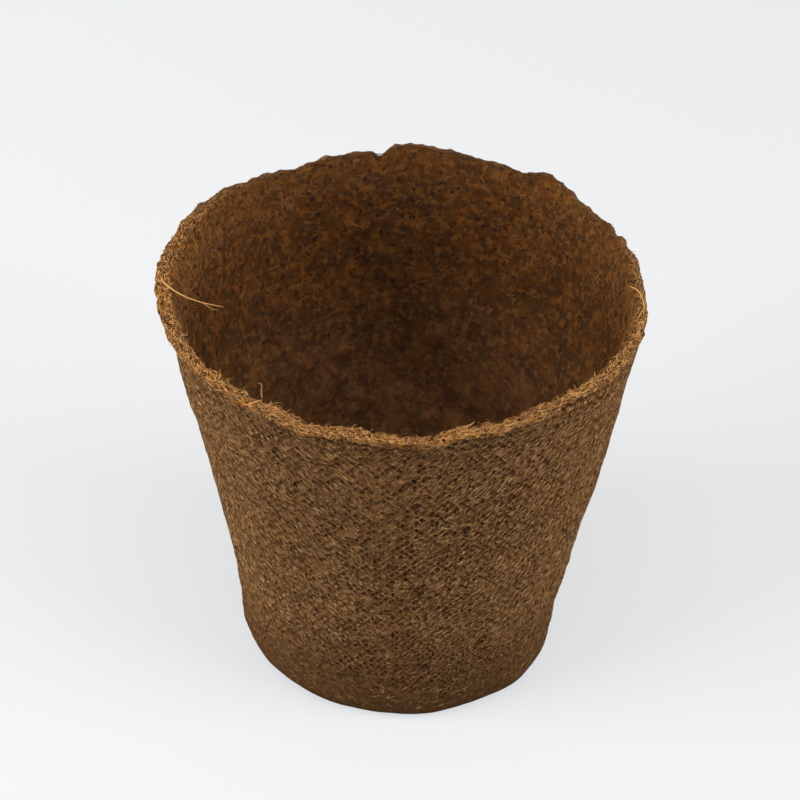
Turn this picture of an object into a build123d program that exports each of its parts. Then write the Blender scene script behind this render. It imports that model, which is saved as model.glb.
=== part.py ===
from build123d import *
from math import cos, radians, sin
import os

# A round pot moulded in one piece from peat and wood fibre, with a few fibres standing loose on its rim.
# Lengths are in millimetres. The origin is the middle of the footprint, and +Z points out of the mouth.
# Angles are in degrees round +Z, from +X on the pot's right-hand side, so the front is at 270.

# The shell: its outer radii at the rim and at the base, how far the lip flares, its heights, and its walls
rim_radius = 40.3
base_radius = 27.5
lip_flare = 1.7
pot_height = 75.1
lip_depth = 5.5
wall = 2.0
lip_wall = 2.6
floor_thickness = 2.6

# The hole in the middle of the floor
drain_radius = 4.0

# The roundings of the outer heel and of the inner corner, and the bevels of the rim and of the hole's edges
heel_radius = 3.4
corner_radius = 2.6
rim_bevel = 0.6
drain_bevel = 0.4

# How far the dried rim strays from round, and how far its edge is torn
rim_stray = 1.2
rim_tear = 1.5

# The sides that the wall drew in as it dried: how deep at the bottom, how far the middle of such a side's
# rounding lies beyond the pot's axis, and the band under the crease that stays round
side_draw = 0.8
side_shift = 2.3
round_band = 9.6

# The loose fibres: thickness at the root, length, and how deep they are rooted in the rim
long_fibre_thickness = 0.36
long_fibre_length = 12.0
short_fibre_thickness = 0.3
short_fibre_length = 3.4
rim_fibre_thickness = 0.28
rim_fibre_length = 2.4
fibre_root_depth = 0.7

# How far a cut runs past what it cuts
overrun = 6.0

# The outer radius and the height at the crease under the lip, and how high the drawn-in sides reach
neck_radius = rim_radius - lip_flare
crease = pot_height - lip_depth
side_reach = crease - round_band

# The angles of the middles of the drawn-in sides
drawn_angles = (24, 130, 262)

# Angle round the pot: how far its rim strays outwards, as shares of rim_stray
rim_stray_shares = dict(zip(range(0, 360, 15), (
    -0.8, -0.65, -0.2, 0, 0, 0, 0, 0, 0, 0.2, 0.6, 0.65,
    0.95, 0.15, 0.55, 0.1, 0, 0, 0, 0, 0, 0.05, 0.1, -0.4,
)))

# Angle round the pot: how far the torn edge stands above pot_height, as shares of rim_tear
rim_tear_shares = {
    0: -0.5, 15: -0.6, 30: -0.8, 38: -1.1, 45: -0.15, 52: 0.5, 60: -0.6, 67: -0.5,
    75: -0.2, 82: 0.4, 90: 0.9, 97: -0.5, 105: 0.2, 112: -0.1, 120: -0.6, 127: -0.2,
    135: 0.25, 142: 0.85, 150: 0.85, 157: 0.8, 165: 0.35, 180: 0.35, 195: 0, 202: 0.25,
    210: 0.2, 225: 0.2, 240: 0, 247: -0.45, 255: 0, 262: 0, 270: -0.55, 276: -0.65,
    281: 0.15, 285: 0.3, 292: 0.2, 300: 0.35, 315: 0.45, 330: 0.2, 345: 0,
}

# Where the four stretches of the lip start
quarters = range(0, 360, 90)

# The inner and outer reach of the surface that tears the rim, as shares of rim_radius
tear_reach_shares = (0.6, 1.4)

# Where the two longer fibres are rooted
long_fibre_angle = 180.5
short_fibre_angle = 233.6

# The points that a fibre passes from its root: inwards, round the pot and upwards, as shares of its length
long_fibre_shares = (
    (0, 0, 0), (0.04, 0.08, 0.1), (0.15, 0.22, 0.12), (0.32, 0.27, 0.02),
    (0.53, 0.28, -0.08), (0.65, 0.27, -0.12), (0.87, 0.24, -0.19),
)
short_fibre_shares = ((0, 0, 0), (0.04, 0.05, 0.45), (0.08, 0.02, 0.75), (0.12, -0.16, 1.0))

# Angle round the pot: a rim fibre's tip, inwards, round the pot and upwards, as shares of rim_fibre_length
rim_fibre_shares = {
    9: (0.3, 0.5, 0.7), 27: (-0.1, -0.7, 0.6), 48: (0.2, 0.4, 0.8), 70: (-0.3, 0.6, 0.6),
    88: (0.1, -0.5, 0.8), 108: (0.3, 0.6, 0.6), 131: (-0.2, -0.6, 0.7), 149: (0.2, 0.7, 0.5),
    168: (-0.3, 0.5, 0.7), 194: (0.4, -0.5, 0.7), 217: (0.1, 0.7, 0.6), 243: (0.2, -0.6, 0.6),
    256: (0.1, 0.8, 0.5), 265: (-0.2, 0.6, 0.7), 282: (0.3, 0.2, 0.9), 296: (-0.1, 0.7, 0.6),
    312: (0.3, -0.6, 0.6), 329: (-0.2, 0.5, 0.8), 347: (0.1, 0.7, 0.6),
}

# How a rim fibre bows: its middle point's shares of the way to the tip, sideways and upwards
rim_fibre_bow_shares = (0.4, 0.6)

# Places along a fibre where its section is set, as shares of its length, and its sides
section_shares = (0, 0.3, 0.65, 1)
fibre_sides = 6

# A fibre's thickness at its tip, as a share of that at its root
tip_share = 0.4


def place(radius, angle, height):
    """A point at a radius and an angle round the pot's axis."""
    return Vector(radius * cos(radians(angle)), radius * sin(radians(angle)), height)


def strayed_quarter(start, radius, stray, height):
    """A quarter of a ring that strays from a circle as the rim does, square to the radius at its ends."""
    angles = [angle for angle in [*rim_stray_shares, 360] if start <= angle <= start + 90]
    points = [place(radius + stray * rim_stray_shares[angle % 360], angle, height) for angle in angles]
    return Edge.make_spline(points, tangents=[place(1, start + 90, 0), place(1, start + 180, 0)])


def rounded_cone(bottom, bottom_radius, top_radius, rounding):
    """A cone that stands on its narrow end and reaches the crease, with its foot rounded."""
    cone = Solid.make_cone(bottom_radius, top_radius, crease - bottom, Plane.XY.offset(bottom))
    return cone.fillet(rounding, cone.edges().group_by(Axis.Z)[0])


def drawn_side(angle, bottom, bottom_radius, top_radius, rounding):
    """A wider cone off the axis, whose near side lies inside the pot's own cone and flattens it there."""
    wider_bottom = bottom_radius + side_shift - side_draw * (1 - bottom / side_reach)
    wider_top = top_radius + side_shift - side_draw * (1 - crease / side_reach)
    return Pos(place(-side_shift, angle, 0)) * rounded_cone(bottom, wider_bottom, wider_top, rounding)


def make_skin(bottom, bottom_radius, crease_radius, top_radius, rounding):
    """The solid inside one skin: a cone with drawn-in sides, and its lip carried on past the rim."""
    cone = rounded_cone(bottom, bottom_radius, crease_radius, rounding)
    for angle in drawn_angles:
        cone &= drawn_side(angle, bottom, bottom_radius, crease_radius, rounding)

    past_rim = (lip_depth + overrun) / lip_depth
    far_radius = crease_radius + (top_radius - crease_radius) * past_rim
    far_stray = rim_stray * past_rim
    level = Plane.XY.offset(crease)
    near_ring = [Edge.make_circle(crease_radius, level, start, start + 90) for start in quarters]
    far_ring = [strayed_quarter(start, far_radius, far_stray, pot_height + overrun) for start in quarters]
    return cone + Solid.make_loft([Wire(near_ring), Wire(far_ring)], ruled=True)


def torn_line(radius):
    """The line of the torn rim, carried in or out to a radius."""
    points = [place(radius, angle, pot_height + rim_tear * share) for angle, share in rim_tear_shares.items()]
    return Edge.make_spline(points, periodic=True)


def make_tear():
    """The space above the torn rim."""
    tear = Face.make_surface_from_curves(*[torn_line(rim_radius * share) for share in tear_reach_shares])
    return Solid.extrude(tear, Vector(0, 0, overrun + overrun))


def make_pot(above_rim):
    """The moulded shell: drawn-in sides, a rounded heel, a flared thicker lip and a torn rim."""
    taper = (neck_radius - base_radius) / crease
    floor_radius = base_radius + taper * floor_thickness - wall
    inner_neck = neck_radius - wall
    inner_rim = rim_radius - lip_wall
    outside = make_skin(0, base_radius, neck_radius, rim_radius, heel_radius)
    inside = make_skin(floor_thickness, floor_radius, inner_neck, inner_rim, corner_radius)
    drain = Solid.make_cylinder(drain_radius, floor_thickness + overrun, Plane.XY.offset(-overrun / 2))
    shell = (outside - inside - above_rim - drain).solids()[0]

    torn_face = shell.faces().sort_by(Axis.Z)[-1]
    shell = shell.chamfer(rim_bevel, None, torn_face.edges().filter_by(GeomType.LINE, reverse=True))
    drain_edges = shell.edges().filter_by(GeomType.CIRCLE).filter_by(lambda edge: edge.radius == drain_radius)
    return shell.chamfer(drain_bevel, None, drain_edges)


def between(shares, angle):
    """The share at an angle, between the two nearest places of a table."""
    angles = list(shares) + [360]
    values = list(shares.values()) + [shares[0]]
    after = next(index for index, known in enumerate(angles) if known > angle)
    part = (angle - angles[after - 1]) / (angles[after] - angles[after - 1])
    return values[after - 1] + part * (values[after] - values[after - 1])


def from_rim(angle, shares, length):
    """The points of a fibre that is rooted in the middle of the lip at an angle."""
    middle = rim_radius + rim_stray * between(rim_stray_shares, angle) - lip_wall / 2
    root = place(middle, angle, pot_height + rim_tear * between(rim_tear_shares, angle) - fibre_root_depth)
    outwards = place(1, angle, 0)
    onwards = place(1, angle + 90, 0)
    return [root + (onwards * turned - outwards * inwards + Vector(0, 0, up)) * length
            for inwards, turned, up in shares]


def strand(points, thickness):
    """A loose fibre through some points, tapered from its root to its tip."""
    path = Edge.make_spline(points)
    side = (points[-1] - points[0]).cross(points[1] - points[0])
    sections = []
    for share in section_shares:
        radius = thickness / 2 * (1 - share * (1 - tip_share))
        plane = Plane(path.position_at(share), x_dir=side, z_dir=path.tangent_at(share))
        sections.append((plane * RegularPolygon(radius, fibre_sides)).wire())
    return Solid.make_loft(sections, ruled=True)


def make_rim_fibre(angle, inwards, turned, up):
    """A short fibre that stands out of the torn edge and bows over to its tip."""
    sideways, upwards = rim_fibre_bow_shares
    shares = ((0, 0, 0), (inwards * sideways, turned * sideways, up * upwards), (inwards, turned, up))
    return strand(from_rim(angle, shares, rim_fibre_length), rim_fibre_thickness)


above_rim = make_tear()
pot = make_pot(above_rim)
long_points = from_rim(long_fibre_angle, long_fibre_shares, long_fibre_length)
short_points = from_rim(short_fibre_angle, short_fibre_shares, short_fibre_length)
long_fibre = strand(long_points, long_fibre_thickness)
short_fibre = strand(short_points, short_fibre_thickness)
rim_fibres = [make_rim_fibre(angle, *tip) for angle, tip in rim_fibre_shares.items()]

# Each fibre keeps only the stretch outside the felt, so it meets the rim face to face
nodes = {
    "moulded_pot": pot,
    "long_loose_fibre": long_fibre - pot,
    "short_loose_fibre": short_fibre & above_rim,
    "rim_fibres": Compound([fibre & above_rim for fibre in rim_fibres]),
}

os.makedirs("parts", exist_ok=True)
for name, shape in nodes.items():
    export_step(shape, f"parts/{name}.step")
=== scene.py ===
from math import atan2, cos, hypot, pi, radians, sin, tau

import bpy
import numpy as np
from mathutils import Matrix, Vector
from mathutils.bvhtree import BVHTree


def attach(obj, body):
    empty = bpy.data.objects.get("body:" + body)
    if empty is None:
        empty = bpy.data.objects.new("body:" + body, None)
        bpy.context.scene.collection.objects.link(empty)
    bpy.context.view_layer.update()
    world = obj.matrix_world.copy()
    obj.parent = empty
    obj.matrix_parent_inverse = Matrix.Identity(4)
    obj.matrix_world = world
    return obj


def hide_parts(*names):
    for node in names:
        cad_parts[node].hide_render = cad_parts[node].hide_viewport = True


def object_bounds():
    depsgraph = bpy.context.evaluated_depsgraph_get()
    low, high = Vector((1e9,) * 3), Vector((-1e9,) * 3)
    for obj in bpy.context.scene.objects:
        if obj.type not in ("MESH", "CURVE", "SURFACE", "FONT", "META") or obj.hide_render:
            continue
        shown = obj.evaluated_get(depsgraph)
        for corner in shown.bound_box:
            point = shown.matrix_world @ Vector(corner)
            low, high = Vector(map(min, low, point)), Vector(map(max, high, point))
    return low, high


bl_info = {
    "name": "Peat pot",
    "version": (1, 0, 0),
    "blender": (4, 5, 0),
    "location": "View3D > Sidebar > Peat pot",
    "description": "Dresses the packed peat pot: moulded felt shell, torn rim, loose fibres and the stage",
    "category": "Object",
}

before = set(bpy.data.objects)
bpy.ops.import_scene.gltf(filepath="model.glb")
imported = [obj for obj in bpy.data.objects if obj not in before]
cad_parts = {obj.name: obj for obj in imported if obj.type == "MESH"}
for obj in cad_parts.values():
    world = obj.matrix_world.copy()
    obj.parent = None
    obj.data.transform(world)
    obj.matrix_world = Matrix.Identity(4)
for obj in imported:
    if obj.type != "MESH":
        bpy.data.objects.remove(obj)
cad_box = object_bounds()

# Blender's unit is the metre; shapes below are worked out in millimetres
MM = 0.001

# Tables go round the pot by an angle in degrees, from its right-hand side by way of its back.
# How far the rim strays outwards, and how far its torn edge stands above the rim's height, in millimetres
RIM_STRAY = {
    0: -0.9, 15: -0.75, 30: -0.2, 45: 0.1, 60: 0.1, 120: 0.1, 135: 0.3, 150: 0.8, 165: 0.9, 172: 1.1,
    180: 1.1, 187: 0.7, 195: 0.4, 202: 0.5, 210: 0.7, 225: 0.2, 240: 0, 300: 0, 315: 0.1, 330: 0.1,
    345: -0.45,
}
RIM_TEAR = {
    0: -0.8, 15: -0.9, 30: -1.2, 38: -1.7, 42: -1.4, 45: 0.1, 52: 1.0, 60: -0.6, 67: -0.5, 75: 0.0, 82: 0.8,
    90: 1.4, 93: 1.0, 97: -0.8, 105: 0.3, 112: -0.2, 120: -0.9, 127: -0.3, 135: 0.35, 142: 1.3, 150: 1.3,
    157: 1.2, 165: 0.5, 180: 0.5, 195: 0, 202: 0.4, 210: 0.3, 225: 0.3, 240: 0, 247: -0.7, 255: 0, 262: 0,
    270: -0.85, 276: -1.0, 279: -0.3, 281: 0.2, 285: 0.45, 292: 0.3, 300: 0.5, 315: 0.7, 330: 0.3, 345: 0,
}

# How golden the torn rim is, and the width of its golden band in millimetres
RIM_GOLD = {0: 0.7, 15: 0.5, 35: 0.25, 60: 0.15, 120: 0.15, 140: 0.35, 160: 0.85, 180: 1, 345: 0.9}
RIM_BAND = {0: 1.2, 20: 0.9, 60: 0.9, 120: 1.2, 145: 2.4, 180: 3.2, 225: 2.3, 250: 1.7, 300: 1.8, 345: 1.6}

# How much the rows of pits run up to the right, 1, or up to the left, -1
ROW_SLANT = {0: 1, 40: 0.6, 90: -0.4, 140: -1, 180: -1, 255: -0.9, 275: 0.7, 320: 1, 360: 1}

# Over how many degrees the corners of these tables are rounded
STRAY_BLUR, TEAR_BLUR, GOLD_BLUR = 4, 0.8, 5

# The middles of the three sides that the wall drew in as it dried, in degrees
DRAWN_SIDES = (24, 130, 262)

# Shallow hollows and swellings of the wall: degrees, height, half width in degrees, half height, and depth
HOLLOWS = (
    (194, 27, 24, 15, -0.95), (199, 49, 22, 8, -0.4), (188, 60, 18, 5, 0.3), (186, 3, 20, 5, 0.3),
    (345, 8, 22, 7, -0.7), (345, 22, 22, 10, -0.5), (344, 47, 20, 9, 0.35), (328, 4, 16, 6, 0.45),
    (240, 40, 16, 14, -0.25), (290, 30, 18, 12, 0.2), (300, 5, 14, 7, -0.35), (60, 40, 20, 14, -0.3),
    (100, 25, 20, 12, 0.25), (150, 45, 20, 12, -0.25),
)

# The unevenness of the felt: its height and the size of its features in millimetres, and a step of the seed
WAVES = {
    "missing_pits": (0.5, 5.0, 0), "foot_line": (3, 9.0, 1), "wall_bend": (0.35, 19, 2),
    "foot_bend": (0.4, 11, 3), "pit_change": (0.3, 4, 4), "lumps": (0.16, 3.2, 5), "grain": (0.1, 1.1, 6),
    "clumps": (1, 2.6, 7), "small_clumps": (0.5, 1.3, 8), "wide_clumps": (0.5, 6.0, 9),
    "rim_lumps": (0.42, 2.0, 10), "rim_grain": (0.45, 1.0, 11), "rim_width": (0.32, 1.4, 12),
    "floor": (0.3, 2.8, 13), "underside": (0.12, 4, 14), "sideways": (0.3, 1.7, 15),
    "upwards": (0.28, 1.7, 16), "torn_line": (0.4, 1.5, 17),
}

# Edge lengths in millimetres under the plain shell, on its floor and in its hole, and the points of its arcs
UNDER_PITCH, FLOOR_PITCH, HOLE_PITCH = 3.4, 2.0, 1.3
FOOT_POINTS, RIM_POINTS = 6, 5

# The crease under the lip at the front right, in degrees: where it begins, is full, fades and has ended
CREASE_START, CREASE_FULL, CREASE_FADES, CREASE_END = 303, 309, 324, 329

# The side of the lattice of random numbers that the unevenness is blended from
LATTICE = 48

# The chance value from which a diamond stays without a pit, a pit's size and its limits as shares of its
# diamond, and its depth as a share of the screen's
PIT_FILL = 0.75
PIT_SIZE, PIT_LIMITS, PIT_DEPTH = (0.7, 1.12), (0.22, 1.75), (0.3, 1.25)

# How much a pit is stretched along the rows, and how much the slant, the stretch and the place vary
PIT_STRETCH, SLANT_SPREAD, STRETCH_SPREAD, PIT_SHIFT = 0.58, 0.35, 0.2, 0.22

# The number of voids in the outer wall, and the lowest height of the felt in millimetres, just off the ground
VOIDS = 90
LOWEST = 0.01

# Fibres of the outer wall and chips of the inner one: points, lowest place, shape and scale of their lengths,
# bend, least and greatest thickness, and how far they are lifted as a share of their thickness
WALL_FIBRES = (5, 3, 3, 0.24, 0.2, 0.07, 0.15, 0.3)
INNER_CHIPS = (4, 4.5, 4, 0.27, 0.35, 0.3, 0.65, -0.2)

# The slope in degrees of the fibres that lie along the rows of pits, and the points of a torn fibre
ROW_SLOPE = 48
TORN_FIBRE_POINTS = 6

# The loose fibres: piece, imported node, sides, share of the thickness at the tip, points along it, and the
# thickness, the tone and the places that each strand passes, in millimetres
LOOSE_FIBRES = (
    ("long_fibre", "long_loose_fibre", 8, 0.35, 24, (
        (0.32, 0.4, ((-40.2, -0.3, 74.6), (-39.9, -1.0, 75.5), (-38.66, -2.9, 75.75), (-36.48, -3.5, 74.5),
                     (-34.0, -3.6, 73.4), (-32.5, -3.5, 72.86), (-29.87, -3.2, 72.0))),
        (0.14, 0.2, ((-33.2, -3.6, 73.1), (-32.4, -4.1, 72.9), (-31.6, -4.4, 72.4), (-30.6, -4.3, 72.2))),
    )),
    ("short_fibre", "short_loose_fibre", 8, 0.35, 16, (
        (0.22, 0.15, ((-22.0, -29.8, 74.6), (-22.1, -29.7, 76.0), (-22.0, -29.8, 77.2),
                      (-22.5, -29.8, 77.6))),
    )),
    ("rim_loop", "rim_fibres", 6, 0.5, 20, (
        (0.17, 0.55, ((36.7, 0.7, 74.6), (37.8, -1.2, 75.2), (38.4, -3.2, 75.1), (38.5, -5.6, 75.1),
                      (37.3, -8.8, 75.2))),
    )),
)

# What the felt's colour is multiplied by: painted shade at the heel, at the back of the inside and on the
# pot's floor, and painted light deep inside
HEEL_PAINTED_SHADE = (0.5, 0.47, 0.42, 1)
BACK_PAINTED_SHADE = (0.68, 0.67, 0.58, 1)
DEEP_PAINTED_LIGHT = (3.7, 4.6, 10.5, 1)
POT_FLOOR_PAINTED_SHADE = (0.5, 0.44, 0.34, 1)

# The soft lights: name, place in metres, setting of their power, share of it, and size in metres
LIGHTS = (
    ("left_light", (-0.82, -0.31, 0.42), "side_light", 1.37, 0.6),
    ("right_light", (0.82, -0.31, 0.42), "side_light", 1.09, 0.6),
    ("top_light", (0.05, -0.3, 0.9), "top_light", 1.0, 0.7),
)
LIGHTS_AIM = (0, 0, 0.04)
LIGHT_COLOUR = (1.0, 0.98, 0.95)
SKY_COLOUR = (0.94, 0.97, 1.0, 1.0)

# The camera's place in metres, and its turns in radians: down, and to the left
CAMERA_PLACE = (-0.00074, -0.31677, 0.30822)
CAMERA_PITCH, CAMERA_ROLL = 0.6832, 0.0155

# The floor's grey as it is seen and for the light that it gives back, and its glow at the left and the right,
# a painted light that is a little stronger at the left
FLOOR_SEEN = (0.2, 0.2, 0.2, 1)
FLOOR_BOUNCE = (0.06, 0.06, 0.06, 1)
FLOOR_GLOW = (0.658, 0.624)


def srgb(red, green, blue):
    """A linear colour from the three numbers of a screen colour."""
    channels = (channel / 255 for channel in (red, green, blue))
    return (*(c / 12.92 if c <= 0.04045 else ((c + 0.055) / 1.055) ** 2.4 for c in channels), 1.0)


# Settings


def length(name, description, default):
    """A length property, whose default is given in millimetres."""
    return bpy.props.FloatProperty(name=name, description=description, default=default * MM, min=0,
                                   unit="LENGTH", precision=5)


def measure(name, description, default, least=0, unit="NONE"):
    """A property for a number in the unit that Blender keeps it in."""
    return bpy.props.FloatProperty(name=name, description=description, default=default, min=least, unit=unit)


def whole_number(name, description, default, least=1):
    """A property that counts something."""
    return bpy.props.IntProperty(name=name, description=description, default=default, min=least)


def colour(name, description, *screen):
    """A colour property, whose default is given as three numbers of a screen colour."""
    return bpy.props.FloatVectorProperty(name=name, description=description, default=srgb(*screen),
                                         min=0, max=1, size=4, subtype="COLOR")


class PeatPotShape(bpy.types.PropertyGroup):
    """Sizes of the moulded shell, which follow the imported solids."""

    rim_radius: length("Rim radius", "Outer radius of the rim", 40.3)
    neck_radius: length("Neck radius", "Outer radius at the crease under the lip", 38.6)
    base_radius: length("Base radius", "Outer radius that the wall would have at the bottom", 27.5)
    pot_height: length("Height", "Height of the rim before it is torn", 75.1)
    lip_depth: length("Lip depth", "Height of the flared lip", 5.5)
    wall: length("Wall", "Thickness of the wall", 2.0)
    lip_wall: length("Lip wall", "Thickness of the lip at the rim", 2.6)
    floor_thickness: length("Floor", "Thickness of the floor", 2.6)
    drain_radius: length("Drain radius", "Radius of the hole in the floor", 4.0)
    heel_radius: length("Heel radius", "Rounding of the outer heel", 3.4)
    corner_radius: length("Corner radius", "Rounding of the inner corner", 2.6)
    rim_rounding: length("Rim rounding", "Height of the rounding of the rim", 0.8)
    side_draw: length("Side draw", "How far the drawn-in sides lie inwards at the bottom", 0.8)
    side_shift: length("Side shift", "How far the middle of a drawn-in side's rounding is off the axis", 2.3)
    side_reach: length("Side reach", "How high the drawn-in sides reach", 60.0)


class PeatPotFelt(bpy.types.PropertyGroup):
    """The relief of the felt and the number of its fibres."""

    columns: whole_number("Columns", "Threads of the forming screen round the pot", 150, 24)
    row: length("Row", "Pitch of the screen up the wall", 1.6)
    ridge: length("Ridge", "Width of the ridge that a thread leaves beside a pit", 0.25)
    pit_depth: length("Pit depth", "Depth of the pits that the screen leaves", 0.34)
    clump_depth: length("Clump depth", "Relief of the clumps on the inner wall", 0.42)
    rim_fibres: whole_number("Rim fibres", "Fibres of the torn rim", 3400)
    wall_fibres: whole_number("Wall fibres", "Fibres that show in the outer wall", 5200)
    flakes: whole_number("Flakes", "Chips in the inner wall", 1500)
    seed: whole_number("Seed", "Start of the random numbers", 7, 0)


class PeatPotColours(bpy.types.PropertyGroup):
    """The colours of the felt, its fibres and the floor."""

    outer_felt: colour("Outer felt", "Pressed felt of the outer wall", 110, 76, 41)
    outer_warm: colour("Outer felt, warmer", "Warmer patches of the outer wall", 107, 72, 39)
    outer_green: colour("Outer felt, greener", "Greener patches of the outer wall", 106, 74, 39)
    outer_fleck: colour("Outer flecks", "Small brown flecks of the outer wall", 90, 59, 28)
    outer_light: colour("Outer light fibres", "Fine light fibres of the outer wall", 182, 141, 94)
    outer_dark: colour("Outer gaps", "Fine gaps between the fibres of the outer wall", 42, 25, 8)
    # Painted shade: the dark colour laid into the pits, the voids and the crease under the lip
    pit: colour("Pits", "Bottom of the pits that the screen left", 38, 22, 8)
    inner_felt: colour("Inner felt", "Coarse felt of the inner wall", 60, 35, 10)
    inner_warm: colour("Inner felt, warmer", "Warmer patches of the inner wall", 75, 43, 12)
    inner_light: colour("Inner clumps", "Lighter clumps of the inner wall", 94, 57, 19)
    inner_green: colour("Inner green clumps", "Greener clumps of the inner wall", 88, 62, 19)
    inner_red: colour("Inner red clumps", "Redder clumps of the inner wall", 104, 52, 16)
    inner_dark: colour("Inner gaps", "Gaps between the clumps of the inner wall", 34, 20, 8)
    torn_felt: colour("Torn felt", "Felt of the torn rim", 122, 74, 28)
    torn_dark: colour("Torn gaps", "Gaps in the torn rim", 48, 26, 8)
    torn_light: colour("Torn light fibres", "Fine light fibres of the torn rim", 170, 122, 66)
    wall_fibre_dark: colour("Wall fibres, dark", "Darkest fibre in the outer wall", 92, 62, 31)
    wall_fibre_pale: colour("Wall fibres, pale", "Palest fibre in the outer wall", 176, 138, 90)
    chip_dark: colour("Chips, dark", "Darkest chip in the inner wall", 54, 31, 9)
    chip_pale: colour("Chips, pale", "Palest chip in the inner wall", 124, 78, 34)
    torn_fibre_dark: colour("Torn fibres, dark", "Darkest fibre of the torn rim", 66, 37, 12)
    torn_fibre_pale: colour("Torn fibres, pale", "Palest fibre of the torn rim", 206, 150, 84)
    straw_dark: colour("Loose fibres, dark", "Darker parts of the loose fibres", 140, 92, 44)
    straw_pale: colour("Loose fibres, pale", "Paler parts of the loose fibres", 220, 172, 104)
    floor: colour("Floor", "The pale studio floor", 236, 239, 242)


class PeatPotStage(bpy.types.PropertyGroup):
    """The floor, the lights and the camera."""

    floor_size: measure("Floor size", "Side of the square floor", 4.0, 0.5, "LENGTH")
    side_light: measure("Side lights", "Power of each soft light beside the pot", 11.0, 0, "POWER")
    top_light: measure("Top light", "Power of the soft light above", 4.0, 0, "POWER")
    sky: measure("Sky", "Strength of the light from all round", 0.4)
    lens: measure("Lens", "Focal length on a 36 mm sensor", 108.0, 1, "CAMERA")


# Helpers for meshes


def deselect():
    """Leaves nothing selected."""
    bpy.ops.object.select_all(action="DESELECT")


def link_mesh(name, mesh):
    """A new object for a mesh, which becomes the active one."""
    piece = bpy.data.objects.new(name, mesh)
    bpy.context.scene.collection.objects.link(piece)
    deselect()
    piece.select_set(True)
    bpy.context.view_layer.objects.active = piece
    return piece


def points_of(mesh):
    """The vertices of a mesh in millimetres."""
    points = np.empty(len(mesh.vertices) * 3)
    mesh.vertices.foreach_get("co", points)
    return points.reshape(-1, 3) / MM


def set_points(mesh, points):
    """Moves the vertices of a mesh to points in millimetres."""
    mesh.vertices.foreach_set("co", np.asarray(points).ravel() * MM)
    mesh.update()


def set_value(mesh, name, values):
    """Writes one number for each vertex to a named attribute."""
    attribute = mesh.attributes.get(name) or mesh.attributes.new(name, "FLOAT", "POINT")
    attribute.data.foreach_set("value", np.asarray(values, dtype=np.float32))


def get_value(mesh, name):
    """The numbers of a named attribute, one for each vertex."""
    values = np.empty(len(mesh.vertices), dtype=np.float32)
    mesh.attributes[name].data.foreach_get("value", values)
    return values


def face_centres(mesh):
    """The middles of the faces in millimetres."""
    centres = np.empty(len(mesh.polygons) * 3)
    mesh.polygons.foreach_get("center", centres)
    return centres.reshape(-1, 3) / MM


def edit(mesh, part, chosen, *steps):
    """Chooses faces or edges of the active piece and takes edit mode steps on them."""
    for kind in (mesh.vertices, mesh.edges, mesh.polygons):
        kind.foreach_set("select", np.zeros(len(kind), dtype=bool))
    getattr(mesh, part).foreach_set("select", chosen)
    bpy.context.tool_settings.mesh_select_mode = (False, part == "edges", part == "polygons")
    bpy.ops.object.mode_set(mode="EDIT")
    for step in steps:
        step()
    bpy.ops.object.mode_set(mode="OBJECT")


def put_in_order(mesh):
    """Lists the faces by their corners, so that the mesh is the same each time it is built."""
    faces = []
    for face in mesh.polygons:
        corners = list(face.vertices)
        first = corners.index(min(corners))
        faces.append(corners[first:] + corners[:first])
    points = [tuple(vertex.co) for vertex in mesh.vertices]
    mesh.clear_geometry()
    mesh.from_pydata(points, [], sorted(faces))


def noise_at(points, size, seed):
    """Smooth noise from -1 to 1 with features of a size in millimetres: a lattice of numbers, blended."""
    lattice = np.random.default_rng(seed).uniform(-1, 1, (LATTICE, LATTICE, LATTICE))
    place = np.asarray(points) / size + 2 * LATTICE + 0.5
    cell = np.floor(place).astype(int)
    share = place - cell
    share = share * share * (3 - 2 * share)
    total = 0
    for corner in np.ndindex(2, 2, 2):
        weight = np.where(corner, share, 1 - share).prod(axis=1)
        total = total + weight * lattice[tuple(((cell + corner) % LATTICE).T)]
    return total


def places(radius, angle, height):
    """Points at radii, angles in radians round the pot and heights."""
    return np.stack((radius * np.cos(angle), radius * np.sin(angle), height), axis=1)


def smooth_step(low, high, values):
    """A smooth rise from 0 at the low value to 1 at the high one."""
    share = np.clip((np.asarray(values, dtype=float) - low) / (high - low), 0, 1)
    return share * share * (3 - 2 * share)


def wave(name, points, felt):
    """One kind of the felt's unevenness at some points, in millimetres."""
    height, size, step = WAVES[name]
    return height * noise_at(points, size, felt.seed + step)


def round_table(table, angles, blur):
    """Looks angles up in a table that goes round the pot, with its corners rounded over some degrees."""
    fine = np.interp(np.arange(0, 360, 0.5), list(table), list(table.values()), period=360)
    reach = np.arange(-60, 61) * 0.5
    weights = np.exp(-0.5 * (reach / blur) ** 2)
    weights /= weights.sum()
    soft = sum(weight * np.roll(fine, int(round(step * 2))) for weight, step in zip(weights, reach))
    return np.interp(np.asarray(angles) % 360, np.arange(0, 360, 0.5), soft, period=360)


# The moulded shell


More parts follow.
